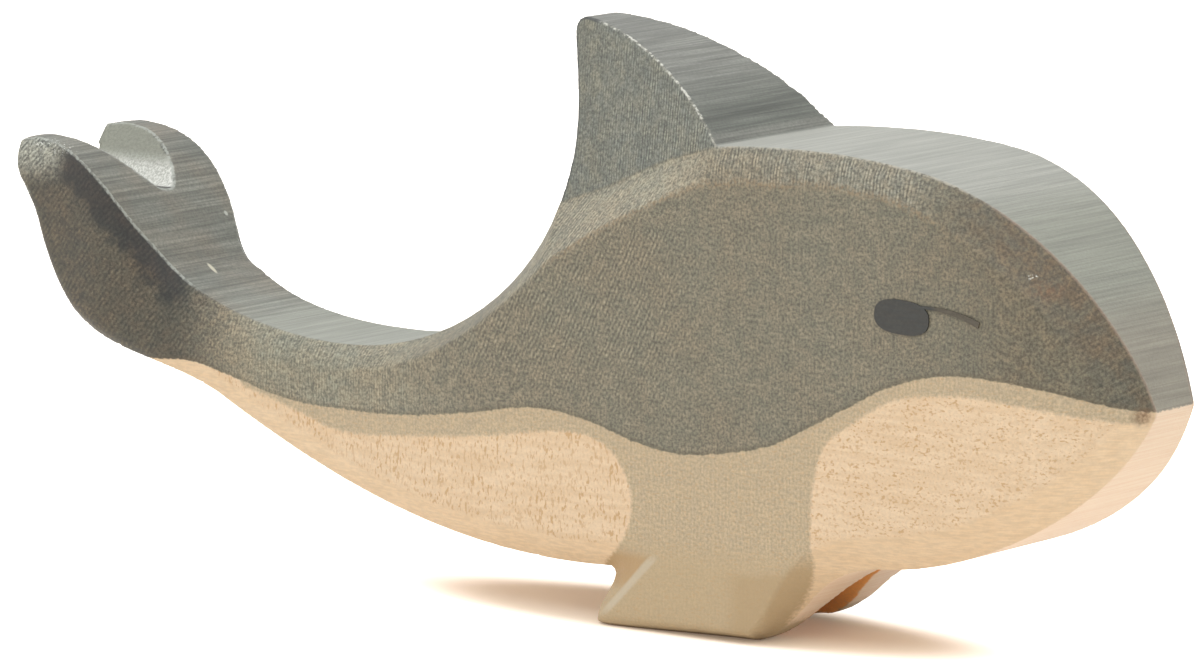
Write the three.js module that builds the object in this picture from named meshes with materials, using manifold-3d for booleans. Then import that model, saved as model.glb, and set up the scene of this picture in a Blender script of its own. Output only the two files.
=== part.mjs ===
// A whale sawn from one plank: a band runs round its outline, wide bevels lead from the band to the two flat
// flanks, the back fin is a thin wedge, a notch parts the tail flukes, and another parts the two side fins
// that it stands on. Each eye is a spot of paint with a lash. Millimetres: x towards the nose, counted from
// the middle of the feet, y across the plank, z up from the floor.
import * as THREE from "three";
import { mergeVertices, toCreasedNormals } from "three/addons/utils/BufferGeometryUtils.js";
import Module from "manifold-3d";

const wasm = await Module();
wasm.setup();
const { degToRad, lerp, smoothstep } = THREE.MathUtils;

// The main sizes: the top of the fin and of the back over the floor, and the reach of nose and tail.
const HEIGHT = 76.5;
const BACK_HEIGHT = 62.5;
const NOSE_REACH = 67.1;
const TAIL_REACH = 110.8;

// Thickness of the whale between its flanks, and the places along it where the thickness changes.
const PLANK = 28;
const STOCK = 17.6; // the slimmest part of the tail
const FLUKES = 26;
const SNOUT = 11.8; // where the tapered flanks would meet the tip of the nose
const SNOUT_FROM = 48;
const STOCK_FROM = -22;
const STOCK_TO = -72;
const FLUKES_FROM = -82;
const FLUKES_TO = -98;
const BEVEL_CROWN = 0.3; // how far the middle of a bevel stands out of flat

// The back fin's thickness at three corners, which sets the lean of its two flat faces.
const FIN_TIP_THICKNESS = 6;
const FIN_FRONT_THICKNESS = 25.8;
const FIN_REAR_THICKNESS = 12;
const FIN_ROOT_SAG = 0.8; // of the line where its faces rise out of the ramps on the whale's shoulders
const FIN_SHOULDER_ARCH = 1.9; // of the line where the flat flank begins below that one

// The notch between the tail flukes, seen along the whale.
const FLUKE_NOTCH_BOTTOM = 47.9;
const FLUKE_NOTCH_RADIUS = 3;
const FLUKE_NOTCH_LEAN = degToRad(40); // lean of each wall from upright

// The notch between the side fins: its ridge falls towards the rear.
const FOOT_NOTCH_FRONT = 9.7;
const FOOT_NOTCH_REAR = 6.4;
const FOOT_NOTCH_LEAN = degToRad(36);
const FOOT_NOTCH_LENGTH = 36;
const CLEARANCE = 5; // how far a notch's cutting prism reaches past the wood

// The paint of the eyes.
const PAINT = 0.2;
const EYE = [36, 44.05];
const EYE_LENGTH = 8.2;
const EYE_HEIGHT = 4.3;
const EYE_TILT = degToRad(-3);
const EYE_FULLNESS = 2.6; // 2 is an ellipse, and more is squarer
const EYE_POINTS = 28;
const LASH_LENGTH = 9.6; // from the top of the eye to its end
const LASH_DROP = 1.4;
const LASH_RISE = 0.7; // how far it arches over a straight line
const LASH_THIN = 0.3;
const LASH_THICK = 0.75;

const CREASE = degToRad(24); // edges sharper than this stay sharp when the surface is shaded
const ARC_STEPS = 12;

// Landmarks round the outline: place, width of the band there, and the bevel's step from the band's edge to
// the flank.
const landmarks = {
  toe: { at: [-12.7, 0], band: 26, bevel: [2.4, 1.4] },
  ball: { at: [11.3, 0], band: 19, bevel: [1.3, 1.6] },
  throat: { at: [32, 11.5], band: 22, bevel: [2, 4.8] },
  nose: { at: [NOSE_REACH, 33.7], band: 8.2, bevel: [-2.6, -0.5] },
  crown: { at: [34, BACK_HEIGHT], band: 25, bevel: [-0.7, -3.9] },
  finFront: { at: [6.7, BACK_HEIGHT + 0.4], band: FIN_FRONT_THICKNESS, bevel: [-1.6, -4.8] },
  finTop: { at: [-20.7, HEIGHT], band: FIN_TIP_THICKNESS, bevel: [0, 0] },
  finTip: { at: [-22.8, HEIGHT - 1.9], band: FIN_TIP_THICKNESS, bevel: [0, 0] },
  finRear: { at: [-23, 52.7], band: FIN_REAR_THICKNESS, bevel: [3.7, -6.6] },
  stock: { at: [-58.5, 31.3], band: 15.5, bevel: [0, -2.9] },
  flukeRoot: { at: [-86.7, 39.1], band: 15.6, bevel: [1.2, -6] },
  flukeTop: { at: [4.8 - TAIL_REACH, 55.1], band: 22.4, bevel: [1.8, -4.4] },
  flukeTip: { at: [-TAIL_REACH, 54.8], band: 22, bevel: [1.6, -3.9] },
  flukeWaist: { at: [4.8 - TAIL_REACH, 44.4], band: 25, bevel: [1.3, 0.2] },
  flukeHeel: { at: [-100.2, 32.5], band: 24, bevel: [0.9, 1.6] },
  stockUnder: { at: [-79.1, 22.9], band: 15.4, bevel: [0.7, 2.7] },
  heel: { at: [-10.5, 7.5], band: 23.4, bevel: [3, 3.5] },
};

// Stretches of the outline between landmarks, once round. Each is a Bezier curve: out and back are its
// handles, counted from its two ends, and bevelOut and bevelBack those of the line where the bevel ends.
const outline = [
  { name: "sole", from: "toe", to: "ball", facets: 6, out: [6, 0], back: [-6, 0] },
  {
    name: "foot", from: "ball", to: "throat", facets: 14,
    out: [5.7, 1.6], back: [-12.4, -0.6], bevelOut: [5.6, 3.6], bevelBack: [-18, -1], bands: [17.4, 21],
  },
  {
    name: "chin", from: "throat", to: "nose", facets: 24,
    out: [13, 1], back: [-4.9, -13.2], bevelOut: [12, 1.5], bevelBack: [-5.3, -8.7], bands: [20, 14.4],
  },
  {
    name: "brow", from: "nose", to: "crown", facets: 24,
    out: [-3.6, 11.9], back: [18, -2], bevelOut: [-3.6, 8.1], bevelBack: [18.2, -4.4], bands: [14.4, 21],
  },
  { name: "back", from: "crown", to: "finFront", facets: 10, out: [-8, 1.2], back: [7.5, 0.8] },
  { name: "finEdge", from: "finFront", to: "finTop", facets: 14, out: [-4.8, 6], back: [11.2, -0.7] },
  { name: "finPoint", from: "finTop", to: "finTip", facets: 4, out: [-1.3, 0], back: [0, 1.2] },
  { name: "finBack", from: "finTip", to: "finRear", facets: 10, out: [1.5, -8], back: [3.8, 8.8] },
  {
    name: "stockTop", from: "finRear", to: "stock", facets: 16,
    out: [-4.1, -10.6], back: [19, -0.4], bevelOut: [-8.7, -8.1], bevelBack: [18.5, 0.2],
  },
  {
    name: "tailTop", from: "stock", to: "flukeRoot", facets: 10,
    out: [-10.5, 0.2], back: [6.7, -5.6], bands: [14.4, 14.2],
  },
  {
    name: "flukeFront", from: "flukeRoot", to: "flukeTop", facets: 12,
    out: [-4.8, 4.8], back: [10.5, -0.8], bevelOut: [-6, 4], bevelBack: [5, -8], bands: [21.6, 24],
  },
  { name: "flukeEnd", from: "flukeTop", to: "flukeTip", facets: 6, out: [-1.6, 0.2], back: [1.5, 0.2] },
  {
    name: "flukeRear", from: "flukeTip", to: "flukeWaist", facets: 6,
    out: [-0.6, -3.6], back: [-0.8, 3.1], bevelOut: [0.6, -2], bevelBack: [-0.8, 2], bands: [24.4],
  },
  { name: "flukeLow", from: "flukeWaist", to: "flukeHeel", facets: 7, out: [1.1, -4.2], back: [-2.7, 2.8] },
  { name: "tailUnder", from: "flukeHeel", to: "stockUnder", facets: 11, out: [5.3, -5.5], back: [-8.5, 4.1] },
  { name: "belly", from: "stockUnder", to: "heel", facets: 23, out: [19.4, -9.4], back: [-27, -1.5] },
  {
    name: "heelNotch", from: "heel", to: "toe", facets: 8,
    out: [2.3, -0.3], back: [1.6, 4], bevelOut: [6, -0.2], bevelBack: [7.1, 6.1],
  },
];

const finRoot = bowed(place(landmarks.finFront), place(landmarks.finRear), -FIN_ROOT_SAG);
const finShoulder = bowed(bevelEnd(landmarks.finFront), bevelEnd(landmarks.finRear), FIN_SHOULDER_ARCH);

function place({ at }) {
  return new THREE.Vector2(...at);
}

function bevelEnd({ at, bevel }) {
  return new THREE.Vector2(at[0] + bevel[0], at[1] + bevel[1]);
}

// A line between two points whose middle control point is raised.
function bowed(start, end, rise) {
  const middle = start.clone().lerp(end, 0.5).add(new THREE.Vector2(0, rise));
  return new THREE.QuadraticBezierCurve(start, middle, end);
}

function flankHalf(x) {
  if (x > SNOUT_FROM) {
    const t = (x - SNOUT_FROM) / (landmarks.nose.at[0] - SNOUT_FROM);
    return lerp(PLANK, SNOUT, t * t) / 2;
  }
  const toStock = smoothstep(-x, -STOCK_FROM, -STOCK_TO);
  const toFlukes = smoothstep(-x, -FLUKES_FROM, -FLUKES_TO);
  return lerp(lerp(PLANK, STOCK, toStock), FLUKES, toFlukes) / 2;
}

// Half of the back fin's thickness at a point of its faces.
function finHalf(point) {
  const corner = ({ at }, thickness) => new THREE.Vector3(at[0], at[1], thickness / 2);
  const face = new THREE.Plane().setFromCoplanarPoints(
    corner(landmarks.finTip, FIN_TIP_THICKNESS),
    corner(landmarks.finFront, FIN_FRONT_THICKNESS),
    corner(landmarks.finRear, FIN_REAR_THICKNESS),
  );
  return -(face.normal.x * point.x + face.normal.y * point.y + face.constant) / face.normal.z;
}

function bezier(start, out, back, end) {
  return new THREE.CubicBezierCurve(
    start,
    start.clone().add(new THREE.Vector2(...out)),
    end.clone().add(new THREE.Vector2(...back)),
    end,
  );
}

// Stations of one stretch. Each has the band's edge, the fin's root where there is one, and the end of the
// bevel, with the half width of the band or the fin at the first two.
function stationsOf(stretch) {
  const { facets, out, back, bevelOut = out, bevelBack = back, bands = [] } = stretch;
  const from = landmarks[stretch.from];
  const to = landmarks[stretch.to];
  const edge = bezier(place(from), out, back, place(to));
  const bevel = bezier(bevelEnd(from), bevelOut, bevelBack, bevelEnd(to));
  const widths = [from.band, ...bands, to.band].map((band, i) => new THREE.Vector2(i, band));
  const width = new THREE.SplineCurve(widths);
  return Array.from({ length: facets }, (_, i) => {
    const t = i / facets;
    const point = edge.getPointAt(t);
    return { edge: point, root: point, bevel: bevel.getPointAt(t), half: width.getPoint(t).y / 2 };
  });
}

// The fin's stretches share its root and shoulder lines between them.
function finStations(stretches) {
  const facets = stretches.reduce((sum, { facets }) => sum + facets, 0);
  return stretches.flatMap(stationsOf).map((station, i) => {
    const root = i === 0 ? station.edge : finRoot.getPointAt(i / facets);
    const bevel = finShoulder.getPointAt(i / facets);
    return { edge: station.edge, root, bevel, half: finHalf(station.edge), rootHalf: finHalf(root) };
  });
}

const isFin = ({ name }) => name.startsWith("fin");
const firstFin = outline.findIndex(isFin);
const stations = [
  ...outline.slice(0, firstFin).flatMap(stationsOf),
  ...finStations(outline.filter(isFin)),
  ...outline.slice(firstFin).filter((stretch) => !isFin(stretch)).flatMap(stationsOf),
];

// The first station of a stretch.
function startOf(name) {
  const before = outline.slice(0, outline.findIndex((stretch) => stretch.name === name));
  return before.reduce((sum, { facets }) => sum + facets, 0);
}

// The flank's triangles, as triples of stations: ladders between the whale's upper and lower lines where its
// thickness changes, and one flat patch in the middle.
function flankTriangles() {
  const count = stations.length;
  const ladder = (top, bottom, rungs) => Array.from({ length: rungs }, (_, i) => {
    const [a, b] = [(top + i) % count, (top + i + 1) % count];
    const [c, d] = [(bottom - i + count) % count, (bottom - i - 1 + count) % count];
    return [[a, b, c], [b, d, c]];
  }).flat().filter((corners) => new Set(corners).size === 3);
  const noseAt = startOf("brow");
  const head = startOf("back") - noseAt;
  const tail = (startOf("heelNotch") - startOf("stockTop")) / 2;
  const patch = [];
  for (let i = startOf("back"); i <= startOf("stockTop"); i++) patch.push(i);
  for (let i = startOf("heelNotch"); i <= startOf("chin") + count; i++) patch.push(i % count);
  const flat = THREE.ShapeUtils.triangulateShape(patch.map((i) => stations[i].bevel), []);
  return [
    ...ladder(noseAt, noseAt, head),
    ...flat.map((corners) => corners.map((i) => patch[i])),
    ...ladder(startOf("stockTop"), startOf("heelNotch"), tail),
  ];
}

// The sawn and bevelled whale, before its notches are cut.
function blank() {
  const positions = [];
  const faces = [];
  const vertex = (point, y) => {
    positions.push(point.x, y, point.y);
    return positions.length / 3 - 1;
  };
  const strip = (lower, upper) => lower.flatMap((a, i) => {
    const next = (i + 1) % lower.length;
    return [[a, lower[next], upper[next]], [a, upper[next], upper[i]]];
  });
  const flank = (side) => {
    const edge = stations.map((at) => vertex(at.edge, side * at.half));
    const root = stations.map((at, i) => (at.rootHalf ? vertex(at.root, side * at.rootHalf) : edge[i]));
    const crown = stations.map((at) => {
      const half = lerp(at.rootHalf ?? at.half, flankHalf(at.bevel.x), 0.5);
      return vertex(at.root.clone().lerp(at.bevel, 0.5), side * (half + (at.rootHalf ? 0 : BEVEL_CROWN)));
    });
    const flat = stations.map((at) => vertex(at.bevel, side * flankHalf(at.bevel.x)));
    const patch = flankTriangles().map((corners) => corners.map((i) => flat[i]));
    const sheet = [...strip(edge, root), ...strip(root, crown), ...strip(crown, flat), ...patch];
    faces.push(...sheet.map((face) => (side < 0 ? face : face.toReversed())));
    return edge;
  };
  faces.push(...strip(flank(1), flank(-1)));
  return toSolid(positions, faces.filter((face) => new Set(face).size === 3).flat());
}

function toSolid(positions, corners) {
  const mesh = new wasm.Mesh({
    numProp: 3,
    vertProperties: new Float32Array(positions),
    triVerts: new Uint32Array(corners),
  });
  return new wasm.Manifold(mesh);
}

function geometrySolid(geometry) {
  geometry.deleteAttribute("normal");
  geometry.deleteAttribute("uv");
  const merged = mergeVertices(geometry, 1e-4);
  return toSolid(merged.getAttribute("position").array, merged.index.array);
}

function solidGeometry(solid) {
  const mesh = solid.getMesh();
  const geometry = new THREE.BufferGeometry();
  geometry.setAttribute("position", new THREE.BufferAttribute(mesh.vertProperties, 3));
  geometry.setIndex(new THREE.BufferAttribute(mesh.triVerts, 1));
  return toCreasedNormals(geometry, CREASE);
}

// A prism of a shape drawn across the whale, y to the right and z up, from one x to another.
function crossPrism(shape, fromX, toX) {
  const geometry = new THREE.ExtrudeGeometry(shape, { depth: toX - fromX, bevelEnabled: false });
  const axes = new THREE.Matrix4().makeBasis(
    new THREE.Vector3(0, 1, 0),
    new THREE.Vector3(0, 0, 1),
    new THREE.Vector3(1, 0, 0),
  );
  return geometry.applyMatrix4(axes).translate(fromX, 0, 0);
}

function flukeNotch() {
  const top = landmarks.flukeTop.at[1] + CLEARANCE;
  const centre = FLUKE_NOTCH_BOTTOM + FLUKE_NOTCH_RADIUS;
  const rise = (top - centre) * Math.tan(FLUKE_NOTCH_LEAN);
  const reach = FLUKE_NOTCH_RADIUS / Math.cos(FLUKE_NOTCH_LEAN) + rise;
  const shape = new THREE.Shape();
  shape.moveTo(reach, top);
  shape.lineTo(-reach, top);
  for (let i = 0; i <= ARC_STEPS; i++) {
    const angle = lerp(Math.PI + FLUKE_NOTCH_LEAN, 2 * Math.PI - FLUKE_NOTCH_LEAN, i / ARC_STEPS);
    shape.lineTo(FLUKE_NOTCH_RADIUS * Math.cos(angle), centre + FLUKE_NOTCH_RADIUS * Math.sin(angle));
  }
  return geometrySolid(crossPrism(shape, -TAIL_REACH - CLEARANCE, landmarks.flukeRoot.at[0]));
}

// The shape is one unit high and wide, and is stretched at each end to the notch's size there.
function footNotch() {
  const rearX = landmarks.toe.at[0];
  const frontX = landmarks.throat.at[0];
  const shape = new THREE.Shape();
  shape.moveTo(0, 1);
  shape.lineTo(-1, 0);
  shape.lineTo(1, 0);
  const geometry = crossPrism(shape, rearX - CLEARANCE, frontX);
  const position = geometry.getAttribute("position");
  for (let i = 0; i < position.count; i++) {
    const x = position.getX(i);
    const ridge = lerp(FOOT_NOTCH_REAR, FOOT_NOTCH_FRONT, (x - rearX) / FOOT_NOTCH_LENGTH);
    position.setY(i, position.getY(i) * (ridge + CLEARANCE) * Math.tan(FOOT_NOTCH_LEAN));
    position.setZ(i, lerp(-CLEARANCE, ridge, position.getZ(i)));
  }
  return geometrySolid(geometry);
}

// One eye with its lash, as a film of paint that lies on the flank of that side.
function eyeGeometry(side) {
  const centre = new THREE.Vector2(...EYE);
  const swell = (share, half) => Math.sign(share) * half * Math.abs(share) ** (2 / EYE_FULLNESS);
  const spot = new THREE.Shape(Array.from({ length: EYE_POINTS }, (_, i) => {
    const angle = (2 * Math.PI * i) / EYE_POINTS;
    const along = swell(Math.cos(angle), EYE_LENGTH / 2);
    const up = swell(Math.sin(angle), EYE_HEIGHT / 2);
    return new THREE.Vector2(along, up).add(centre).rotateAround(centre, EYE_TILT);
  }));
  const start = new THREE.Vector2(EYE[0] + EYE_LENGTH / 4, EYE[1] + EYE_HEIGHT / 3);
  const end = new THREE.Vector2(start.x + LASH_LENGTH, start.y - LASH_DROP);
  const arch = start.clone().lerp(end, 0.5).add(new THREE.Vector2(0, 2 * LASH_RISE));
  const lash = new THREE.Shape();
  lash.moveTo(start.x, start.y + LASH_THIN / 2);
  lash.quadraticCurveTo(arch.x, arch.y, end.x, end.y + LASH_THICK / 2);
  lash.lineTo(end.x - LASH_THICK / 3, end.y - LASH_THICK / 2);
  lash.quadraticCurveTo(arch.x, arch.y - (LASH_THIN + LASH_THICK) / 2, start.x, start.y - LASH_THIN / 2);
  const film = (shape) => {
    const geometry = new THREE.ExtrudeGeometry(shape, { depth: PAINT, bevelEnabled: false });
    geometry.rotateX(Math.PI / 2);
    return geometrySolid(geometry.translate(0, side > 0 ? PLANK / 2 + PAINT : -PLANK / 2, 0));
  };
  return solidGeometry(film(spot).add(film(lash)));
}

const wood = new THREE.MeshStandardMaterial({ color: 0x8a877a, roughness: 0.62, metalness: 0 });
const paint = new THREE.MeshStandardMaterial({ color: 0x3a3a36, roughness: 0.5, metalness: 0 });

function named(name, geometry, material) {
  const mesh = new THREE.Mesh(geometry, material);
  mesh.name = name;
  return mesh;
}

const body = named("body", solidGeometry(blank().subtract(flukeNotch()).subtract(footNotch())), wood);
const group = new THREE.Group();
group.name = "whale";
group.add(body);
group.add(named("eye_left", eyeGeometry(1), paint));
group.add(named("eye_right", eyeGeometry(-1), paint));

// The part's origin lies under the middle of its length.
body.geometry.computeBoundingBox();
group.position.x = -body.geometry.boundingBox.getCenter(new THREE.Vector3()).x;

export default group;
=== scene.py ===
import math

import bmesh
import bpy
import numpy as np
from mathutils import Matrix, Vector
from mathutils.bvhtree import BVHTree
from mathutils.kdtree import KDTree


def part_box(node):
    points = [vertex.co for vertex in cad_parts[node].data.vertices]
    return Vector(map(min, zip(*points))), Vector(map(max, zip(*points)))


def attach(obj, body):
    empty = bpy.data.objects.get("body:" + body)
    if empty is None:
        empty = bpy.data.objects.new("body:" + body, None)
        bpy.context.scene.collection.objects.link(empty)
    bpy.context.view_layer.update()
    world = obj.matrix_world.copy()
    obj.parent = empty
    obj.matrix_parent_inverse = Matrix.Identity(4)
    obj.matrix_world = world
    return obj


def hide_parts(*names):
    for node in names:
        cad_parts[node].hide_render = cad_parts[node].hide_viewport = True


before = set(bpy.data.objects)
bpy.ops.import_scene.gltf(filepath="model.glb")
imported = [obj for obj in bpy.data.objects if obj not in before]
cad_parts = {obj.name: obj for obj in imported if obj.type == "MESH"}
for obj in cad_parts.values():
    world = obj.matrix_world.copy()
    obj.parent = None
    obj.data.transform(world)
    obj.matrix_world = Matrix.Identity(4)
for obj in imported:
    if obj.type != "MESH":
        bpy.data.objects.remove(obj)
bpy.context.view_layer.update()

# Lengths are in millimetres, and are turned into metres where an object is made. Only the lamps and the
# floor are given in metres.
MM = 0.001

# The traced measures count x from the middle of the feet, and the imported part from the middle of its
# length.
NOSE_X = 67.1
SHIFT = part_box("body")[1].x / MM - NOSE_X

# The camera, recovered from the photograph.
PHOTO_WIDTH = 1200
FOCAL_PIXELS = 8000
SENSOR = 36
AZIMUTH = 37
ELEVATION = 8.7
DISTANCE = 1032.26
TARGET = Vector((-21.16 + SHIFT, 0, 35.37))

# The sanded mesh: the size of its faces, and how much they are evened out before they are laid on the
# solid.
VOXEL = 0.53
EVENING = 0.5
EVENING_PASSES = 2
# Points stand along the edge of the sawn band, one every CREASE_STEP. Mesh corners nearer than SNAP move
# there.
CREASE_STEP = 0.06
SNAP = 0.3
# Corners of the solid that are nearer to each other than this are one.
SAME_CORNER = 0.001
# Sanding moves each mesh corner this share of the way to the mean of itself and its neighbours.
SANDING = 0.5
SANDING_PASSES = 1
# How often the limits of band, bevel and notch are evened out.
CLASS_PASSES = 1

# Corners that are sanded rounder than the rest: the near fluke's tip, the near foot's heel and the far
# fluke's root. Each has its place, how far the rounding reaches and how near it is whole.
ROUND_CORNERS = [
    ((-110.8, -11, 54.8), (4.5, 1.5)),
    ((-12.7, -13, 0), (3.5, 1)),
    ((-86.7, 7.8, 39.1), (4, 1.5)),
]
ROUND_PASSES = 8

# The far side fin is a little narrower than the near one, and its toe is higher. Along x, and down z, each
# pair goes from where the change begins to where it is whole.
FAR_TRIM = 0.14
FAR_TRIM_X = (6, 16)
FAR_TRIM_Z = (12, 7)
TOE_LIFT = 1.1
TOE_REAR = (4, 11)
TOE_FRONT = (19, 12)
TOE_Z = (6, 2)

# The solid's faces are told apart by how far their normals lean across the plank: less than BAND_LEAN on
# the sawn band, towards the middle by NOTCH_LEAN in a notch, and by FLAT_LEAN or more on the flat flanks.
BAND_LEAN = 0.1
NOTCH_LEAN = 0.3
FLAT_LEAN = 0.985
# Round the back fin, from x to x and above z, each face that isn't flat is bevel.
FIN_BOX = (-24, 6.5, 40)

# Lines on the flank, as (x, z) from tail to nose. The grey stain lies above PAINT_LINE.
PAINT_LINE = [
    (-90, 26.6), (-82.6, 26.8), (-75.7, 25.4), (-66, 23.3), (-55, 23.1), (-43, 23.8), (-31.5, 25.5),
    (-21.8, 27.1), (-13.8, 26.6), (-5, 24.3), (2.2, 23.5), (10, 24.5), (17.1, 26.4), (27, 31.5),
    (35.7, 35.7), (45, 37.5), (55.4, 36.7), (67, 33.9),
]
# The brown wash lies below it, down to this line, and on all of the side fin behind it.
WASH_LINE = [
    (-74, 24.4), (-64.7, 22.1), (-56, 20.1), (-44.7, 20.9), (-29.9, 22.6), (-18.6, 24.4),
    (-12.2, 24.3), (-8, 22), (-5.6, 17), (-7, 11.5), (-13, 6), (-18, -3), (9, -4), (15.5, 2.7), (20.7, 9),
    (22.2, 12.5), (22.2, 16), (22.6, 21.5), (24.2, 26.6), (28, 29.6), (34, 33.2), (40.3, 34.6), (49, 34.9),
    (60.4, 33.4), (66, 32.5),
]
WASH_TOP = [(66, 45), (-74, 45)]
# The back fin's faces lie above this line.
FIN_ROOT = [(-23, 52.7), (-13.5, 55.9), (-3.5, 59.9), (6.7, 62.9)]

# Parts of the whale that the finish tells apart. Along x, and up z, a part fades in from the first number
# to the second. With a third number it lies between the two, and that number says how soft its ends are.
AREAS = {
    "fin face": {"x": (-24.5, 7.5, 0.8)},
    "fin band": {"x": (-24, 6.7, 0.3), "z": (56, 58)},
    "fin rear": {"x": (-30, -18, 1), "z": (50, 54)},
    "fin front": {"x": (-18, 6, 1), "z": (62, 64)},
    "fin top": {"z": (66, 73)},
    "fin pale streak": {"z": (62, 64.2, 0.5)},
    "fin dark streak": {"z": (65.6, 66.9, 0.5)},
    "ramp": {"x": (-27, 6, 3)},
    "back": {"x": (6, 38, 4)},
    "back edge": {"x": (6, 44, 2)},
    "crease": {"x": (-20, 42, 4)},
    "slanted lines": {"x": (-38, 2, 8), "z": (30, 56, 6)},
    "upright lines": {"x": (-80, -40, 6)},
    "dotted flank": {"x": (-8, 8)},
    "stock": {"x": (-30, -52)},
    "stock bevel": {"x": (-76, -52, 5), "z": (27, 30)},
    "stock band": {"x": (-25, -45)},
    "tail": {"x": (-72, -86)},
    "tail bevel": {"x": (-102, -84, 1.5), "z": (31, 35)},
    "tail band": {"x": (-66, -84)},
    "tail edge": {"x": (-80, -85), "z": (34, 37)},
    "fluke tip": {"x": (-100.5, -104.5), "z": (48.5, 53)},
    "notch floor": {"z": (52.2, 49.6)},
    "head": {"x": (28, 60)},
    "head bevel": {"x": (36, 50)},
    "head edge": {"x": (44, 50)},
    "head band": {"x": (42, 52)},
    "nose": {"x": (50, 60)},
    "nose band": {"x": (58, 64)},
    "lash": {"x": (40.3, 41.5)},
    "side fin": {"z": (14, 8)},
    "toe": {"x": (8, 12), "z": (12, 10)},
    "toe band": {"x": (14, 18), "z": (16, 13)},
    "heel": {"z": (10.5, 9)},
    "above the sole": {"z": (0.8, 3)},
    "heel strip": {"x": (-1, -2)},
    "behind the heel": {"z": (4.5, 6.5)},
    "between the feet": {"z": (12, 10)},
    "sole": {"z": (0.6, 0.1)},
}
# The tail's dark bevel ends at a line that rises by TAIL_SLANT towards the tail, and the heel's strip lies
# between two lines that rise by 1 towards the nose, where x minus z is the same all along.
TAIL_SLANT = 1.13
TAIL_LINE = (-71, -67)
HEEL_STRIP = (-12.6, -11.2)
HEEL_REAR = (-12.4, -13)

# Noise reaches 0 and 1 often when it is stretched from this far on each side of its middle.
MARKS_SPREAD = 0.18
# Fine lines sway by this many pitches, with waves of this size.
LINE_SWAY = 1.2
LINE_WAVES = (1.6, 1.6, 3)


def colour(red, green, blue):
    """A screen colour from 0 to 255, in the linear values that shaders take."""
    return tuple(
        c / 12.92 if c <= 0.04045 else ((c + 0.055) / 1.055) ** 2.4
        for c in (red / 255, green / 255, blue / 255)
    )


BARE_WOOD = (colour(229, 202, 168), colour(237, 213, 182))
BARE_BEVEL = colour(238, 212, 177)
BARE_BAND = (colour(244, 216, 189), colour(251, 230, 206))
BARE_FLECKS = colour(203, 163, 114)
WASH = (colour(192, 176, 149), colour(195, 176, 145))
WASH_FLECKS = colour(197, 161, 118)
SIDE_FIN_WASH = colour(193, 172, 136)
TOE_BEVEL_SHADE = colour(180, 155, 118)
HEEL_SHADED_WASH = colour(186, 154, 112)
HEEL_HIGHLIGHT_STRIP = colour(207, 197, 176)
# The grey stain on flanks and bevels, greenish and brownish. The ramp and back bevel tones are made
# lighter by painted light where those faces turn up, and the head and tail bevel tones are stain darkened
# by painted shade where those bevels turn away from the light.
STAIN_AND_PAINTED_SHADING = {
    "flank": (colour(124, 122, 107), colour(129, 121, 103)),
    "head": (colour(109, 106, 91), colour(115, 105, 86)),
    "stock": (colour(148, 148, 132), colour(153, 143, 121)),
    "stock bevel": (colour(138, 140, 126), colour(138, 130, 111)),
    "tail": (colour(78, 77, 67), colour(88, 78, 64)),
    "ramp": (colour(156, 155, 139), colour(161, 151, 130)),
    "back bevel": (colour(136, 137, 126), colour(144, 134, 114)),
    "fin face": (colour(118, 123, 117), colour(126, 125, 111)),
    "head bevel": (colour(84, 82, 68), colour(100, 84, 64)),
    "tail bevel": (colour(42, 44, 41), colour(52, 46, 41)),
    "fluke tip": (colour(146, 150, 142), colour(152, 151, 138)),
}
# The stain on the sawn band and in the notches, with a painted highlight on the notch floor.
BACK_BAND = colour(164, 165, 157)
HEAD_BAND = colour(148, 150, 139)
NOSE_BAND = colour(150, 146, 134)
STOCK_BAND = colour(152, 154, 144)
TAIL_BAND = (colour(118, 120, 112), colour(121, 117, 106))
FIN_BAND = (colour(99, 102, 95), colour(119, 120, 114))
FIN_STREAK = colour(118, 119, 112)
NOTCH_STAIN = colour(139, 141, 129)
NOTCH_FLOOR_HIGHLIGHT = colour(230, 231, 225)
# The dark rim where the stain ends, the edges made pale by rubbing and by painted highlights, and the
# single marks, among them a painted glint and a painted highlight dot.
STAIN_RIM = colour(88, 78, 60)
FIN_EDGE_WEAR_AND_HIGHLIGHT = colour(226, 226, 216)
BACK_EDGE_WEAR_AND_HIGHLIGHT = colour(200, 195, 180)
TAIL_EDGE_WEAR_AND_HIGHLIGHT = colour(172, 176, 168)
WORN_HEAD = colour(186, 160, 142)
CREASE_DOTS = colour(166, 140, 106)
FIN_REAR_LINE = colour(66, 70, 70)
TIP_GLINT = colour(245, 245, 240)
NICK = colour(215, 210, 190)
HIGHLIGHT_DOT = colour(205, 208, 200)
SPECK = colour(235, 235, 225)
REDDISH = colour(138, 98, 70)
BLOT = colour(122, 94, 66)
# Painted light and shade at the feet: orange bounce light between them and a contact shadow along the
# soles.
BOUNCE_LIGHT_BETWEEN_FEET = colour(244, 176, 104)
SOLE_CONTACT_SHADOW = colour(120, 88, 58)
EYE = (colour(40, 42, 40), colour(52, 51, 47))
LASH = colour(78, 72, 60)

# Light: each lamp's name, width in metres, power in watts, place, and the point that it faces.
LAMPS = [
    ("left lamp", 0.8, 2.9, (-0.8, -0.9, 0.6), (0, 0, 0.04)),
    ("right lamp", 0.8, 2.9, (0.95, -0.4, 0.6), (0, 0, 0.04)),
    ("top lamp", 1.6, 12.3, (0, -0.1, 1.0), (0, 0, 0)),
]
WORLD_LIGHT = 0.24
WHITE = (1, 1, 1)

# The floor's lamp shadow shows only in an oval under the whale, where the floor's white lift is low and
# warm, so the oval's edge and warm tint are painted onto the shadow; the lift whitens the floor out of the
# oval in these parts of its reach.
FLOOR_HALF = 4
SHADOW_CENTRE = (18, -2, 0)
SHADOW_REACH = (49, 15, 1)
FLOOR_WHITENS = (0.55, 1.15)
FLOOR_LIFT = 0.16
FLOOR_GLOW = colour(255, 222, 190)
FLOOR_COLOUR = colour(246, 238, 226)


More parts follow.
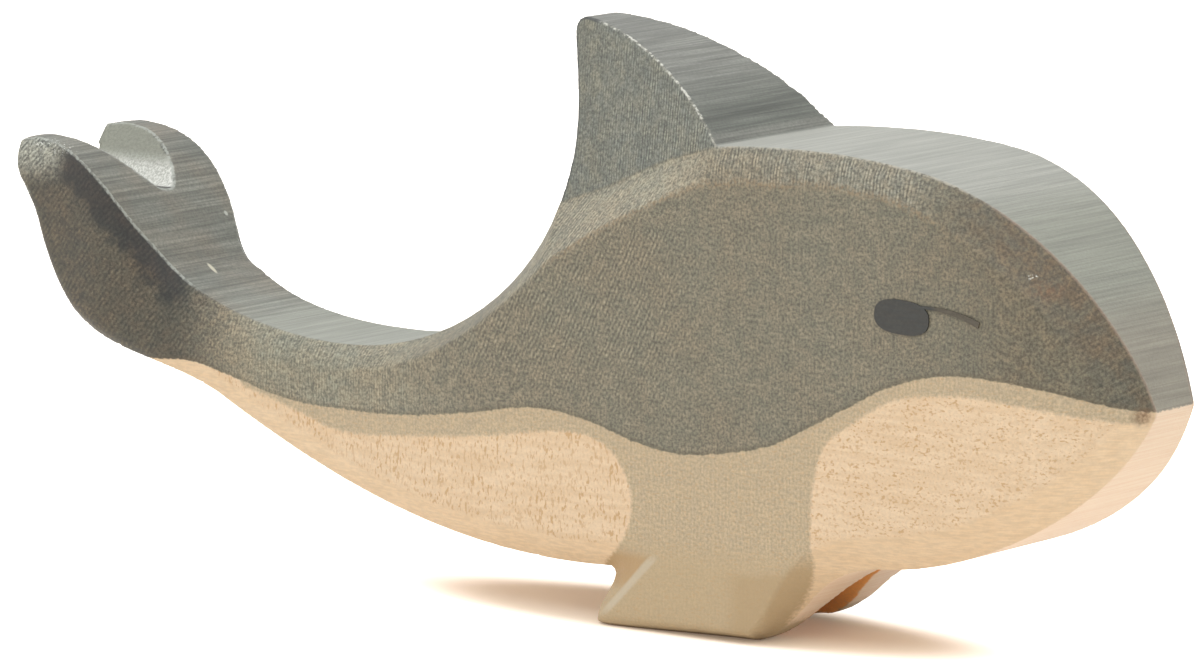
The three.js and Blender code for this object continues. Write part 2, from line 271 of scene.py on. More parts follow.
def smooth_line(points, steps=8):
    """Points on a smooth curve through the given ones."""
    points = np.array(points, float)
    before = np.vstack([2 * points[0] - points[1], points[:-1]])
    after = np.vstack([points[1:], 2 * points[-1] - points[-2]])
    slope = (after - before) / 2
    curve = []
    for t in np.arange(steps) / steps:
        first = 2 * t**3 - 3 * t**2 + 1
        leaving = t**3 - 2 * t**2 + t
        arriving = t**3 - t**2
        curve.append(
            first * points[:-1] + leaving * slope[:-1] + (1 - first) * points[1:] + arriving * slope[1:]
        )
    curve = np.stack(curve, axis=1).reshape(-1, 2)
    return np.vstack([curve, points[-1]])


def height_above(line, x, z):
    """How far each (x, z) lies above a line, measured squarely to it."""
    curve = smooth_line(line)
    slope = np.gradient(curve[:, 1], curve[:, 0])
    tilt = np.interp(x, curve[:, 0], slope)
    return (z - np.interp(x, curve[:, 0], curve[:, 1])) / np.sqrt(1 + tilt**2)


def distance_inside(corners, x, z):
    """How far each (x, z) lies inside a closed outline, and below zero outside it."""
    nearest = np.full(x.shape, np.inf)
    inside = np.zeros(x.shape, bool)
    for (ax, az), (bx, bz) in zip(corners, np.roll(corners, -1, axis=0)):
        run, climb = bx - ax, bz - az
        share = np.clip(((x - ax) * run + (z - az) * climb) / (run**2 + climb**2), 0, 1)
        nearest = np.minimum(nearest, np.hypot(x - ax - share * run, z - az - share * climb))
        if az != bz:
            inside ^= ((az > z) != (bz > z)) & (x < ax + (z - az) / climb * run)
    return np.where(inside, nearest, -nearest)


def rise(value, start, end):
    """Goes smoothly from 0 to 1 while the value goes from start to end."""
    t = np.clip((value - start) / (end - start), 0, 1)
    return t * t * (3 - 2 * t)


def cad_faces(node):
    """The CAD node's mesh with shared corners, as a bmesh in metres."""
    faces = bmesh.new()
    faces.from_mesh(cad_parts[node].data)
    bmesh.ops.remove_doubles(faces, verts=faces.verts, dist=SAME_CORNER * MM)
    faces.normal_update()
    faces.faces.ensure_lookup_table()
    return faces


def band_edge_points(faces, is_band):
    """Points in metres along the edges where the sawn band meets the bevels and the notches."""
    points = []
    for edge in faces.edges:
        if len({is_band[f.index] for f in edge.link_faces}) < 2:
            continue
        start, end = (v.co for v in edge.verts)
        count = max(1, math.ceil(edge.calc_length() / (CREASE_STEP * MM)))
        points += [start.lerp(end, (i + 0.5) / count) for i in range(count)]
    return points


def nearest_crease(creases, place):
    """For each place in millimetres, the nearest crease point and how far off it is."""
    tree = KDTree(len(creases))
    for i, point in enumerate(creases):
        tree.insert(point, i)
    tree.balance()
    found = [tree.find(p * MM) for p in place]
    return np.array([f[0] for f in found]) / MM, np.array([f[2] for f in found]) / MM


def edge_ends(mesh):
    """The numbers of the two corners of each edge."""
    ends = np.empty(len(mesh.edges) * 2, int)
    mesh.edges.foreach_get("vertices", ends)
    return ends.reshape(-1, 2)


def averaged(values, ends, passes):
    """Values at mesh corners, each evened out with its neighbours."""
    for _ in range(passes):
        total = values.copy()
        count = np.ones(len(values))
        for here, there in ((0, 1), (1, 0)):
            total += np.bincount(ends[:, here], values[ends[:, there]], len(values))
            count += np.bincount(ends[:, here], minlength=len(values))
        values = total / count
    return values


def smoothed(place, ends, passes, weight):
    """Places evened out with their neighbours, as far as the weight from 0 to 1 says."""
    soft = np.stack([averaged(place[:, i], ends, passes) for i in range(3)], axis=1)
    return place + (soft - place) * weight


def far_foot_shape(place):
    """Narrows the far side fin and lifts its toe."""
    x, y, z = place[:, 0] - SHIFT, place[:, 1], place[:, 2]
    far = y > 0
    trim = rise(x, *FAR_TRIM_X) * rise(z, *FAR_TRIM_Z) * far
    toe = rise(x, *TOE_REAR) * rise(x, *TOE_FRONT) * rise(z, *TOE_Z) * far
    return np.stack([place[:, 0], y * (1 - FAR_TRIM * trim), z + TOE_LIFT * toe], axis=1)


def sanded_copy(node, name):
    """A piece with the CAD node's shape in small even faces, its edges a little rounded as by sanding."""
    faces = cad_faces(node)
    mesh = bpy.data.meshes.new(name)
    faces.to_mesh(mesh)
    piece = bpy.data.objects.new(name, mesh)
    bpy.context.scene.collection.objects.link(piece)
    even = piece.modifiers.new("even faces", "REMESH")
    even.mode = "VOXEL"
    even.voxel_size = VOXEL * MM
    relaxed = piece.modifiers.new("relaxed", "SMOOTH")
    relaxed.factor = EVENING
    relaxed.iterations = EVENING_PASSES
    evaluated = piece.evaluated_get(bpy.context.evaluated_depsgraph_get())
    piece.data = bpy.data.meshes.new_from_object(evaluated)
    piece.modifiers.clear()

    mesh = piece.data
    ends = edge_ends(mesh)
    tree = BVHTree.FromBMesh(faces)
    place = np.array([tree.find_nearest(v.co)[0] for v in mesh.vertices]) / MM
    is_band = [abs(f.normal.y) < BAND_LEAN for f in faces.faces]
    crease, off = nearest_crease(band_edge_points(faces, is_band), place)
    place[off < SNAP] = crease[off < SNAP]
    write_regions(mesh, faces, is_band, place, ends, np.where(off < SNAP, 0, off))
    place = smoothed(place, ends, SANDING_PASSES, SANDING)
    for corner, reach in ROUND_CORNERS:
        away = np.linalg.norm(place - (corner[0] + SHIFT, *corner[1:]), axis=1)
        place = smoothed(place, ends, ROUND_PASSES, rise(away, *reach)[:, None])
    place = far_foot_shape(place)
    mesh.vertices.foreach_set("co", (place * MM).ravel())
    mesh.shade_smooth()
    return piece


def write_regions(mesh, faces, is_band, place, ends, edge):
    """Stores on the mesh where its bands, bevels, notches and painted regions are."""
    by_band = {v.index for f in faces.faces if is_band[f.index] for v in f.verts}
    crown = {v.index for f in faces.faces if by_band & {v.index for v in f.verts} for v in f.verts}
    in_bevel = np.array([any(v.index in crown for v in f.verts) for f in faces.faces])
    for f in faces.faces:
        centre = f.calc_center_median() / MM
        if FIN_BOX[0] < centre.x - SHIFT < FIN_BOX[1] and centre.z > FIN_BOX[2]:
            in_bevel[f.index] = abs(f.normal.y) < FLAT_LEAN
    tree = BVHTree.FromBMesh(faces)
    nearest = [tree.find_nearest(p * MM) for p in place]
    face = np.array([found[2] for found in nearest])
    outward = np.array([found[1].y for found in nearest]) * np.sign(place[:, 1])
    notch = outward < -NOTCH_LEAN
    band = np.array(is_band)[face] & ~notch
    bevel = in_bevel[face] & ~band & ~notch
    on_edge = edge == 0

    x = place[:, 0] - SHIFT
    z = place[:, 2]
    wash = np.vstack([smooth_line(WASH_LINE, steps=4), WASH_TOP])
    fields = {
        "band": averaged(np.where(on_edge, 0.5, band), ends, CLASS_PASSES),
        "bevel": averaged(np.where(on_edge, 0.5, bevel), ends, CLASS_PASSES),
        "notch": averaged(notch.astype(float), ends, CLASS_PASSES),
        "edge": edge,
        "above_line": height_above(PAINT_LINE, x, z),
        "in_wash": distance_inside(wash, x, z),
        "above_root": height_above(FIN_ROOT, x, z),
    }
    for name, values in fields.items():
        mesh.attributes.new(name, "FLOAT", "POINT").data.foreach_set("value", values.astype(np.float32))


class Shader:
    """A node material, with short calls for the nodes that the finishes use."""

    def __init__(self, name):
        self.material = bpy.data.materials.new(name)
        self.material.use_nodes = True
        self.tree = self.material.node_tree
        self.surface = self.tree.nodes["Principled BSDF"]
        coordinates = self.add("ShaderNodeTexCoord")
        self.place = self.vector("SCALE", coordinates.outputs["Object"], 1 / MM)
        split = self.add("ShaderNodeSeparateXYZ")
        self.put(split.inputs[0], self.place)
        self.x = self.math("SUBTRACT", split.outputs["X"], SHIFT)
        self.z = split.outputs["Z"]

    def add(self, kind, **settings):
        made = self.tree.nodes.new(kind)
        for name, value in settings.items():
            setattr(made, name, value)
        return made

    def put(self, socket, value):
        """Links a socket to another, or gives it a number, a vector or an opaque colour."""
        if isinstance(value, bpy.types.NodeSocket):
            self.tree.links.new(value, socket)
        elif isinstance(value, tuple) and len(value) == 3 and socket.type == "RGBA":
            socket.default_value = (*value, 1)
        else:
            socket.default_value = value

    def math(self, operation, first, second, clamp=False):
        made = self.add("ShaderNodeMath", operation=operation, use_clamp=clamp)
        self.put(made.inputs[0], first)
        self.put(made.inputs[1], second)
        return made.outputs[0]

    def vector(self, operation, first, amount):
        made = self.add("ShaderNodeVectorMath", operation=operation)
        self.put(made.inputs[0], first)
        self.put(made.inputs["Scale" if operation == "SCALE" else 1], amount)
        return made.outputs[0]

    def distance(self, centre, size):
        """How far off a point on the object lies, in units of size = (x, y, z)."""
        away = self.vector("SUBTRACT", self.place, centre)
        length = self.add("ShaderNodeVectorMath", operation="LENGTH")
        self.put(length.inputs[0], self.vector("MULTIPLY", away, tuple(1 / s for s in size)))
        return length.outputs["Value"]

    def turned(self, size, shift=(0, 0, 0), turn=0.0):
        """The place on the object in units of size, after a shift and a turn about the axis across."""
        place = self.vector("ADD", self.place, shift)
        if turn:
            made = self.add("ShaderNodeVectorRotate", rotation_type="Y_AXIS")
            self.put(made.inputs["Vector"], place)
            self.put(made.inputs["Angle"], turn)
            place = made.outputs[0]
        return self.vector("MULTIPLY", place, tuple(1 / s for s in size))

    def noise_node(self, size, detail=2.0, roughness=0.5, warp=0.0, **placing):
        """Noise whose features measure size = (x, y, z) millimetres."""
        made = self.add("ShaderNodeTexNoise")
        self.put(made.inputs["Vector"], self.turned(size, **placing))
        self.put(made.inputs["Scale"], 1.0)
        self.put(made.inputs["Detail"], detail)
        self.put(made.inputs["Roughness"], roughness)
        self.put(made.inputs["Distortion"], warp)
        return made

    def noise(self, size, **options):
        """One value of that noise, from 0 to 1."""
        return self.noise_node(size, **options).outputs["Fac"]

    def marks(self, size, **options):
        """The same value, stretched until it often reaches 0 and 1."""
        return self.step(self.noise(size, **options), 0.5 - MARKS_SPREAD, 0.5 + MARKS_SPREAD)

    def lines(self, pitch, turn=0.0):
        """Fine lines down the flanks, one every pitch millimetres, that sway and fade a little."""
        sway = self.vector("SCALE", self.noise_node(LINE_WAVES).outputs["Color"], LINE_SWAY * pitch)
        made = self.add("ShaderNodeTexWave", wave_type="BANDS", bands_direction="X")
        self.put(made.inputs["Vector"], self.vector("ADD", self.turned((1, 1, 1), turn=turn), sway))
        # At a scale of 1 the texture has a wave every pi / 10 units.
        self.put(made.inputs["Scale"], math.pi / (10 * pitch))
        fading = self.marks((1.2, 1.2, 2.4), shift=(6, 2, 1))
        return self.blend(self.step(fading, 0, 1, 0.2, 1), 0.5, made.outputs["Fac"])

    def attribute(self, name):
        return self.add("ShaderNodeAttribute", attribute_name=name).outputs["Fac"]

    def spot(self, centre, size, core=0.5):
        """One mark round a traced point, which reaches size = (x, y, z) and fades from its core."""
        return self.step(self.distance((centre[0] + SHIFT, *centre[1:]), size), core, 1, 1, 0)

    def area(self, name):
        """1 in a named part of the whale and 0 outside it."""
        masks = []
        for axis, (start, end, *soft) in AREAS[name].items():
            value = self.x if axis == "x" else self.z
            masks.append(self.between(value, start, end, *soft) if soft else self.step(value, start, end))
        return self.both(*masks)

    def step(self, value, low, high, start=0.0, end=1.0):
        """Goes smoothly from start to end while the value goes from low to high."""
        made = self.add("ShaderNodeMapRange", interpolation_type="SMOOTHSTEP")
        for socket, number in zip(made.inputs[:5], (value, low, high, start, end)):
            self.put(socket, number)
        return made.outputs[0]

    def between(self, value, low, high, soft):
        """1 where the value lies between low and high, with soft ends."""
        above_low = self.step(value, low - soft, low + soft)
        return self.both(above_low, self.step(value, high + soft, high - soft))

    def both(self, *masks):
        """The product of several masks or shares."""
        product = masks[0]
        for mask in masks[1:]:
            product = self.math("MULTIPLY", product, mask)
        return product

    def without(self, mask):
        return self.math("SUBTRACT", 1.0, mask)

    def ragged(self, value, pattern, reach):
        """The value, moved up and down by a pattern from 0 to 1, half the reach each way."""
        move = self.math("MULTIPLY", self.math("SUBTRACT", pattern, 0.5), reach)
        return self.math("ADD", value, move)

    def blend(self, amount, first, second):
        """A number between two others."""
        made = self.add("ShaderNodeMix", data_type="FLOAT")
        self.put(made.inputs["Factor"], amount)
        self.put(made.inputs[2], first)
        self.put(made.inputs[3], second)
        return made.outputs[0]

    def mix(self, amount, first, second):
        """A colour between two others."""
        made = self.add("ShaderNodeMix", data_type="RGBA")
        self.put(made.inputs["Factor"], amount)
        self.put(made.inputs[6], first)
        self.put(made.inputs[7], second)
        return made.outputs[2]

    def laid(self, base, tone, *masks):
        """A colour laid over the base as thickly as the product of the masks says."""
        return self.mix(self.both(*masks), base, tone)

    def lighten(self, base, pattern, amount):
        """The base colour made lighter and darker by a pattern from 0 to 1, by that share at most."""
        change = self.math("MULTIPLY", self.math("SUBTRACT", pattern, 0.5), 2.0)
        share = self.math("ADD", self.math("MULTIPLY", change, amount), 1.0)
        return self.vector("SCALE", base, share)

    def bump(self, height, depth, below=None):
        """A bump that is depth millimetres deep, on top of another."""
        made = self.add("ShaderNodeBump")
        self.put(made.inputs["Height"], height)
        self.put(made.inputs["Distance"], depth * MM)
        self.put(made.inputs["Strength"], 1.0)
        if below is not None:
            self.put(made.inputs["Normal"], below)
        return made.outputs[0]


class Wood(Shader):
    """The whale's finish: bare pale wood, with a brown wash and a grey stain laid over it."""

    def __init__(self):
        super().__init__("stained wood")
        self.band = self.step(self.attribute("band"), 0.3, 0.7)
        self.off_band = self.without(self.band)
        self.bevel = self.attribute("bevel")
        self.notch = self.step(self.attribute("notch"), 0.2, 0.8)
        self.edge = self.attribute("edge")
        above_root = self.attribute("above_root")
        self.below_root = self.step(above_root, 0, -0.4)
        fin = self.both(self.step(above_root, -0.3, 0.3), self.area("fin face"))
        self.fin = self.both(fin, self.step(self.band, 0, 1, 1, 0))
        self.fin_band = self.both(self.band, self.area("fin band"))
        self.back_bevel = self.both(self.bevel, self.area("back"))
        self.tail = self.area("tail")

        # Fine marks that the coats share.
        self.speckle = self.marks((0.4, 0.4, 0.4), detail=3, roughness=0.7)
        self.grains = self.marks((0.5, 0.5, 0.5), shift=(3, 8, 1))
        self.blotches = self.marks((1.8, 1.8, 1.8), shift=(11, 3, 7))
        self.clouds = self.marks((9, 9, 9), shift=(2, 30, 9))
        self.upright = self.marks((0.3, 8, 5), detail=1.5)
        self.level = self.marks((1.6, 4, 0.3), detail=1.5)
        self.saw = self.marks((0.3, 25, 0.3), detail=3, roughness=0.6)
        self.broad_saw = self.marks((1.1, 18, 1.1), detail=3, shift=(0, 9, 0))

        uneven = self.noise((0.8, 0.8, 0.5), shift=(0, 4, 0))
        self.above_line = self.ragged(self.attribute("above_line"), uneven, 0.5)
        self.is_stained = self.step(self.above_line, -0.12, 0.12)

    def flecks(self):
        """Short brown flecks: upright dashes behind the side fin, and dots before it."""
        dashes = self.step(self.noise((0.36, 0.6, 0.8), shift=(2, 0, 1)), 0.54, 0.62)
        dots = self.step(self.noise((0.5, 0.6, 0.3), shift=(8, 1, 3)), 0.56, 0.64)
        uneven = self.step(self.noise((3, 3, 2), shift=(5, 0, 2)), 0.36, 0.62, 0.55, 1)
        off_bevel = self.step(self.bevel, 0.3, 0.8, 1, 0.1)
        flecks = self.blend(self.area("dotted flank"), dashes, dots)
        return self.both(flecks, uneven, off_bevel, self.off_band)

    def bare(self):
        """Pale wood with a level grain, lighter on the bevels and lightest on the sawn band."""
        grain = self.marks((7, 1.2, 0.8), detail=3, warp=0.3)
        wood = self.mix(grain, *BARE_WOOD)
        wood = self.lighten(wood, self.speckle, 0.06)
        wood = self.laid(wood, BARE_FLECKS, self.flecks(), 0.8)
        wood = self.laid(wood, BARE_BEVEL, self.bevel, 0.5)
        wood = self.lighten(wood, self.level, self.both(self.bevel, 0.06))
        return self.mix(self.band, wood, self.mix(self.saw, *BARE_BAND))

    def washed(self, base):
        """The wash, with a woven look of upright and level marks, and painted shade and a painted
        highlight on the side fin's toe and heel.
        """
        wash = self.mix(self.blend(0.5, self.upright, self.level), *WASH)
        wash = self.lighten(wash, self.lines(0.55), 0.05)
        wash = self.lighten(wash, self.level, 0.04)
        wash = self.lighten(wash, self.speckle, 0.18)
        wash = self.laid(wash, SIDE_FIN_WASH, self.area("side fin"), 0.6)
        flecks = self.step(self.noise((0.6, 0.9, 0.22), shift=(1, 1, 1)), 0.58, 0.7)
        wash = self.laid(wash, WASH_FLECKS, flecks, 0.4)
        # Painted shade: the wash is darker on the toe's bevel, which faces down.
        wash = self.laid(wash, TOE_BEVEL_SHADE, self.bevel, self.area("toe"), 0.6)
        wash = self.heel_shades(wash)
        here = self.step(self.ragged(self.attribute("in_wash"), self.grains, 0.25), -0.35, 0.35)
        toe_band = self.both(self.band, self.area("toe band"))
        return self.laid(base, wash, here, self.without(toe_band))

    def heel_shades(self, wash):
        """The side fin's heel: a painted highlight strip down its slanting rear corner, and wash darkened
        by painted shade in the hollow behind it.
        """
        low = self.both(self.area("heel"), self.area("above the sole"))
        across = self.math("SUBTRACT", self.x, self.z)
        strip = self.both(self.between(across, *HEEL_STRIP, 0.4), low, self.area("heel strip"))
        behind = self.both(self.step(across, *HEEL_REAR), self.area("behind the heel"), low)
        # Painted shade behind the heel, then the painted highlight strip.
        wash = self.laid(wash, HEEL_SHADED_WASH, behind, 0.8)
        return self.laid(wash, HEEL_HIGHLIGHT_STRIP, strip, 0.7)

    def head_bevel(self):
        """The dark edge round the head, in patches: stain darkened by painted shade where the bevel turns
        away from the light.
        """
        near_edge = self.step(self.edge, 8, 2.5)
        patchy = self.step(self.blotches, 0, 1, 0.55, 1)
        return self.both(near_edge, self.area("head bevel"), self.off_band, patchy, 0.85)

    def tail_bevel(self):
        """The dark bevel along the flukes' upper edge: stain darkened by painted shade where the bevel
        turns away from the light.
        """
        near_edge = self.step(self.ragged(self.edge, self.blotches, 1.4), 4.7, 2.3)
        slanted = self.math("ADD", self.z, self.math("MULTIPLY", self.x, TAIL_SLANT))
        return self.both(near_edge, self.step(slanted, *TAIL_LINE), self.area("tail bevel"), self.off_band)

    def flank_stain_and_painted_shading(self):
        """The stain's tone, greenish and brownish by turns, for each part of the flanks and bevels, with
        painted light on the ramp and back bevel and painted shade on the head and tail bevels.
        """
        hue = self.blend(0.15, self.blend(0.5, self.blotches, self.clouds), self.grains)
        ramp = self.both(self.bevel, self.below_root, self.area("ramp"))
        covers = {
            "head": self.area("head"),
            "stock": self.both(self.area("stock"), 0.7),
            "stock bevel": self.both(self.bevel, self.area("stock bevel"), 0.6),
            "tail": self.tail,
            # Ramp and back bevel: stain lightened by painted light where they turn up.
            "ramp": self.both(ramp, self.step(self.x, -25, -8, 0.45, 0.85)),
            "back bevel": self.both(self.back_bevel, 0.8),
            "fin face": self.fin,
            # Head and tail bevels: stain darkened by painted shade.
            "head bevel": self.head_bevel(),
            "tail bevel": self.tail_bevel(),
            "fluke tip": self.both(self.area("fluke tip"), 0.9),
        }
        grey = self.mix(hue, *STAIN_AND_PAINTED_SHADING["flank"])
        for part, cover in covers.items():
            grey = self.mix(cover, grey, self.mix(hue, *STAIN_AND_PAINTED_SHADING[part]))
        return self.stain_marks(grey)

    def stain_marks(self, grey):
        """Speckle all over, upright lines on fin, back and stock, slanted ones on flank, tail and head."""
        grey = self.lighten(grey, self.speckle, self.blend(self.tail, 0.5, 0.62))
        grey = self.lighten(grey, self.blotches, 0.1)
        fin_lines = self.both(self.fin, self.step(self.x, -22, -2, 0.14, 0.42))
        upright = self.math("ADD", fin_lines, self.both(self.back_bevel, 0.34), clamp=True)
        upright = self.math("ADD", upright, self.both(self.area("upright lines"), 0.14), clamp=True)
        grey = self.lighten(grey, self.lines(0.5), self.math("ADD", upright, 0.07))
        grey = self.lighten(grey, self.level, 0.05)
        on_flank = self.both(self.area("slanted lines"), self.without(self.fin), 0.34)
        grey = self.lighten(grey, self.lines(0.6, turn=math.radians(-27)), on_flank)
        grey = self.lighten(grey, self.lines(0.6, turn=math.radians(-38)), self.both(self.tail, 0.34))
        hairs = self.marks((0.35, 3, 2.6), detail=1.5, turn=math.radians(-52), shift=(4, 0, 3))
        near_nose = self.both(self.area("nose"), self.step(self.edge, 12, 5), 0.22)
        return self.lighten(grey, hairs, near_nose)

    def stain_on_bands(self):
        """The stain on the sawn edge of the plank, where saw marks run across."""
        tail = self.area("tail band")
        tone = self.laid(BACK_BAND, HEAD_BAND, self.area("head band"))
        tone = self.laid(tone, NOSE_BAND, self.area("nose band"))
        tone = self.laid(tone, STOCK_BAND, self.area("stock band"))
        tone = self.laid(tone, self.mix(self.clouds, *TAIL_BAND), tail)
        fin_tone = self.mix(self.area("fin top"), *FIN_BAND)
        fin_tone = self.laid(fin_tone, FIN_STREAK, self.area("fin pale streak"))
        fin_tone = self.lighten(fin_tone, self.area("fin dark streak"), -0.12)
        tone = self.laid(tone, fin_tone, self.fin_band)
        rough = self.math("ADD", self.both(self.fin_band, 0.8), tail, clamp=True)
        tone = self.lighten(tone, self.speckle, self.blend(rough, 0.08, 0.22))
        tone = self.lighten(tone, self.saw, self.blend(rough, 0.12, 0.24))
        return self.lighten(tone, self.broad_saw, self.blend(rough, 0.06, 0.19))

    def stained(self, base):
        """The stain above its line, with the painted light and shade of its bevel tones and a painted
        highlight on the notch floor, where it ends in a thin dark rim.
        """
        grey = self.mix(self.band, self.flank_stain_and_painted_shading(), self.stain_on_bands())
        notch_tone = self.lighten(NOTCH_STAIN, self.speckle, 0.14)
        sawn = self.step(self.saw, 0, 1, 0.4, 1)
        # A painted highlight: the sheen on the curved floor of the flukes' notch.
        notch_tone = self.laid(notch_tone, NOTCH_FLOOR_HIGHLIGHT, self.area("notch floor"), sawn)
        grey = self.mix(self.notch, grey, notch_tone)
        base = self.mix(self.is_stained, base, grey)
        rim = self.both(self.step(self.above_line, -0.1, 0.15), self.step(self.above_line, 0.7, 0.25))
        return self.laid(base, STAIN_RIM, rim, self.off_band, 0.35)

    def rubbed_and_highlit(self, base):
        """Edges made pale by rubbing and by painted highlights, brown dots along the creases and a dark
        line up the rear of the back fin.
        """
        patchy = self.step(self.noise((0.6, 0.6, 0.6), shift=(5, 5, 5)), 0.42, 0.56)
        # Pale edges on fin, back and tail: partly rubbed, partly painted highlights where the edges catch
        # the light; on the head, rubbed.
        edge_wear_and_highlight = self.both(self.step(self.edge, 0.08, 0.34, 1, 0), self.is_stained)
        base = self.laid(base, FIN_EDGE_WEAR_AND_HIGHLIGHT, edge_wear_and_highlight, patchy, self.area("fin front"), 0.9)
        base = self.laid(base, BACK_EDGE_WEAR_AND_HIGHLIGHT, edge_wear_and_highlight, patchy, self.area("back edge"), 0.5)
        base = self.laid(base, TAIL_EDGE_WEAR_AND_HIGHLIGHT, edge_wear_and_highlight, self.area("tail edge"), self.step(patchy, 0, 1, 0.35, 0.8))
        base = self.laid(base, WORN_HEAD, edge_wear_and_highlight, self.area("head edge"), 0.3)
        # The product peaks where the bevel's value is a half, and 4 makes that peak 1.
        crease = self.both(self.bevel, self.without(self.bevel), 4, self.step(self.edge, 1.5, 2.5))
        dotted = self.both(crease, self.grains, self.area("crease"), self.is_stained)
        base = self.laid(base, CREASE_DOTS, dotted, self.without(self.fin), 0.45)
        rear = self.both(self.step(self.edge, 0.5, 0.2), self.area("fin rear"))
        return self.laid(base, FIN_REAR_LINE, rear, self.is_stained, 0.85)

    def marked(self, base):
        """Single marks: painted glints on the tip, a nick and a painted highlight dot on the tail, a speck
        and a blot in front.
        """
        glint_and_speck_grain = self.step(self.noise((0.35, 0.35, 0.35), shift=(9, 1, 1)), 0.6, 0.68)
        # Painted glints of light on the near fluke's tip.
        base = self.laid(base, TIP_GLINT, self.spot((-103.5, -11.4, 54.4), (5, 2, 1.6)), glint_and_speck_grain, 0.8)
        base = self.laid(base, NICK, self.spot((-85.3, -1, 38.1), (1.3, 0.45, 1.3)), 0.9)
        # A painted highlight dot on the far fluke's band.
        base = self.laid(base, HIGHLIGHT_DOT, self.spot((-90.7, 8.4, 44), (0.5, 0.4, 0.5)), 0.7)
        base = self.laid(base, SPECK, self.spot((53.8, -11.7, 50.3), (0.9, 0.9, 0.5)), glint_and_speck_grain)
        reddish = self.spot((55.6, -11.3, 48.8), (3.5, 3.5, 1.8), core=0)
        base = self.laid(base, REDDISH, reddish, self.grains, 0.4)
        blot = self.spot((66, -5.6, 33.4), (2, 2.4, 1.7), core=0)
        return self.laid(base, BLOT, blot, self.step(self.grains, 0, 1, 0.6, 1))

    def foot_shades(self, base):
        """Painted orange bounce light between the feet and a painted contact shadow where the soles meet
        the floor.
        """
        glow = self.lighten(BOUNCE_LIGHT_BETWEEN_FEET, self.speckle, 0.06)
        base = self.laid(base, glow, self.notch, self.area("between the feet"))
        return self.laid(base, SOLE_CONTACT_SHADOW, self.area("sole"), 0.6)


def wood_finish():
    s = Wood()
    base = s.stained(s.washed(s.bare()))
    base = s.foot_shades(s.marked(s.rubbed_and_highlit(base)))
    s.put(s.surface.inputs["Base Color"], base)
    s.put(s.surface.inputs["Roughness"], s.step(s.speckle, 0.2, 0.8, 0.5, 0.66))
    relief = s.bump(s.speckle, 0.025)
    relief = s.bump(s.both(s.saw, s.band), 0.02, relief)
    s.put(s.surface.inputs["Normal"], relief)
    return s.material


def eye_paint():
    """Dark grey brushed paint, browner on the lash."""
    s = Shader("eye paint")
    brush = s.noise((2.5, 1, 0.3), detail=4)
    paint = s.mix(s.step(brush, 0.3, 0.7), *EYE)
    paint = s.laid(paint, LASH, s.area("lash"))
    paint = s.lighten(paint, s.marks((0.5, 0.5, 0.4)), 0.16)
    s.put(s.surface.inputs["Base Color"], paint)
    s.put(s.surface.inputs["Roughness"], s.step(brush, 0.3, 0.7, 0.45, 0.6))
    s.put(s.surface.inputs["Normal"], s.bump(brush, 0.02))
    return s.material


def seen_directly(tree):
    """1 for rays that show the picture, also by way of gloss or glass, and 0 for those that light it."""
    path = tree.nodes.new("ShaderNodeLightPath")
    seen = path.outputs["Is Camera Ray"]
    for kind in ("Is Glossy Ray", "Is Transmission Ray"):
        either = tree.nodes.new("ShaderNodeMath")
        either.operation = "MAXIMUM"
        tree.links.new(seen, either.inputs[0])
        tree.links.new(path.outputs[kind], either.inputs[1])
        seen = either.outputs[0]
    return seen


def floor_finish():
    """White floor that keeps the object's shadow, which its warm colour tints; a low warm glow in an oval
    under the whale paints the shadow's extent and warmth, and outside it the glow turns the floor white.
    """
    s = Shader("floor")
    s.put(s.surface.inputs["Base Color"], FLOOR_COLOUR)
    s.put(s.surface.inputs["Roughness"], 0.9)
    far = s.step(s.distance(SHADOW_CENTRE, SHADOW_REACH), *FLOOR_WHITENS)
    s.put(s.surface.inputs["Emission Color"], s.mix(far, FLOOR_GLOW, WHITE))
    glow = s.both(seen_directly(s.tree), s.step(far, 0, 1, FLOOR_LIFT, 1))
    s.put(s.surface.inputs["Emission Strength"], glow)
    return s.material


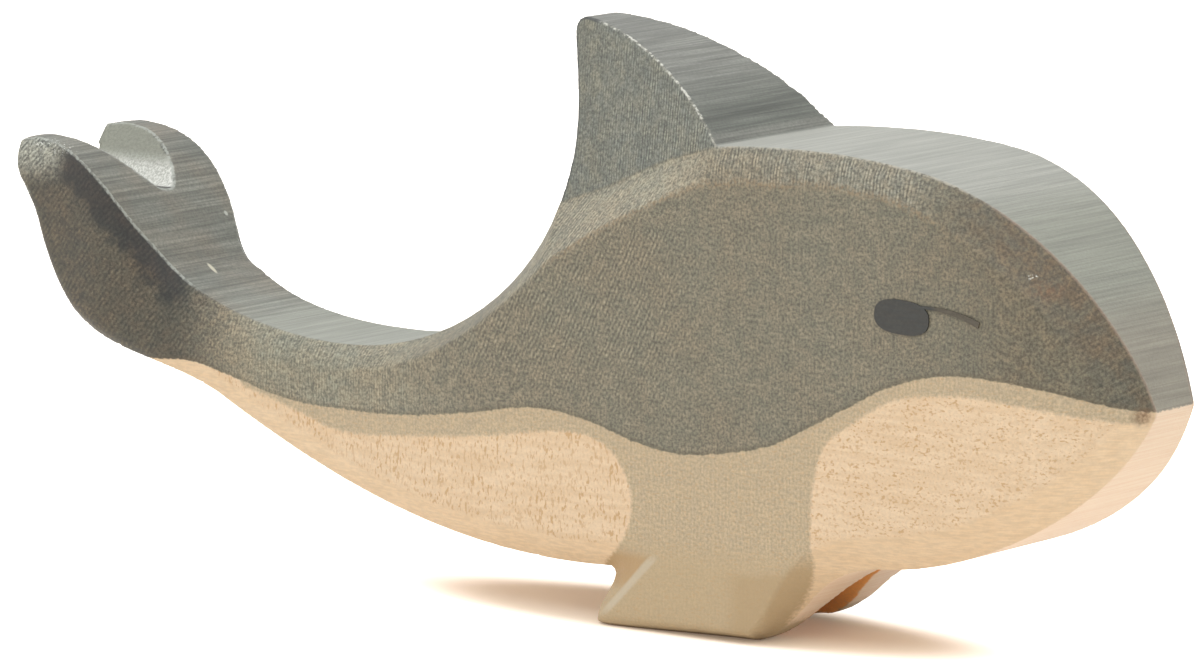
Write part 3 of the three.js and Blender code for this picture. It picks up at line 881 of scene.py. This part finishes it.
def area_lamp(name, size, power, place, aim):
    light = bpy.data.lights.new(name, "AREA")
    light.shape = "SQUARE"
    light.size = size
    light.energy = power
    lamp = bpy.data.objects.new(name, light)
    lamp.location = place
    lamp.rotation_euler = (Vector(aim) - Vector(place)).to_track_quat("-Z", "Y").to_euler()
    bpy.context.scene.collection.objects.link(lamp)


def make_world():
    """A background that looks white and lights the scene a little."""
    world = bpy.data.worlds.new("studio")
    world.use_nodes = True
    bpy.context.scene.world = world
    tree = world.node_tree
    background = tree.nodes["Background"]
    background.inputs["Color"].default_value = (*WHITE, 1)
    strength = tree.nodes.new("ShaderNodeMapRange")
    tree.links.new(seen_directly(tree), strength.inputs["Value"])
    strength.inputs["To Min"].default_value = WORLD_LIGHT
    strength.inputs["To Max"].default_value = 1
    tree.links.new(strength.outputs[0], background.inputs["Strength"])


def make_camera():
    azimuth, elevation = math.radians(AZIMUTH), math.radians(ELEVATION)
    back = Vector((
        math.sin(azimuth) * math.cos(elevation),
        -math.cos(azimuth) * math.cos(elevation),
        math.sin(elevation),
    ))
    data = bpy.data.cameras.new("camera")
    data.sensor_width = SENSOR
    data.lens = SENSOR * FOCAL_PIXELS / PHOTO_WIDTH
    camera = bpy.data.objects.new("camera", data)
    camera.location = (TARGET + back * DISTANCE) * MM
    camera.rotation_euler = back.to_track_quat("Z", "Y").to_euler()
    bpy.context.scene.collection.objects.link(camera)
    bpy.context.scene.camera = camera


make_camera()
make_world()
for lamp in LAMPS:
    area_lamp(*lamp)

whale = sanded_copy("body", "whale")
whale.data.materials.clear()
whale.data.materials.append(wood_finish())
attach(whale, "root")
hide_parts("body")

paint = eye_paint()
for name in ("eye_left", "eye_right"):
    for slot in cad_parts[name].material_slots:
        slot.material = paint

floor_mesh = bpy.data.meshes.new("floor")
floor_corners = [
    (-FLOOR_HALF, -FLOOR_HALF, 0),
    (FLOOR_HALF, -FLOOR_HALF, 0),
    (FLOOR_HALF, FLOOR_HALF, 0),
    (-FLOOR_HALF, FLOOR_HALF, 0),
]
floor_mesh.from_pydata(floor_corners, [], [(0, 1, 2, 3)])
floor = bpy.data.objects.new("floor", floor_mesh)
floor.data.materials.append(floor_finish())
bpy.context.scene.collection.objects.link(floor)

bpy.context.scene.view_settings.view_transform = "Standard"
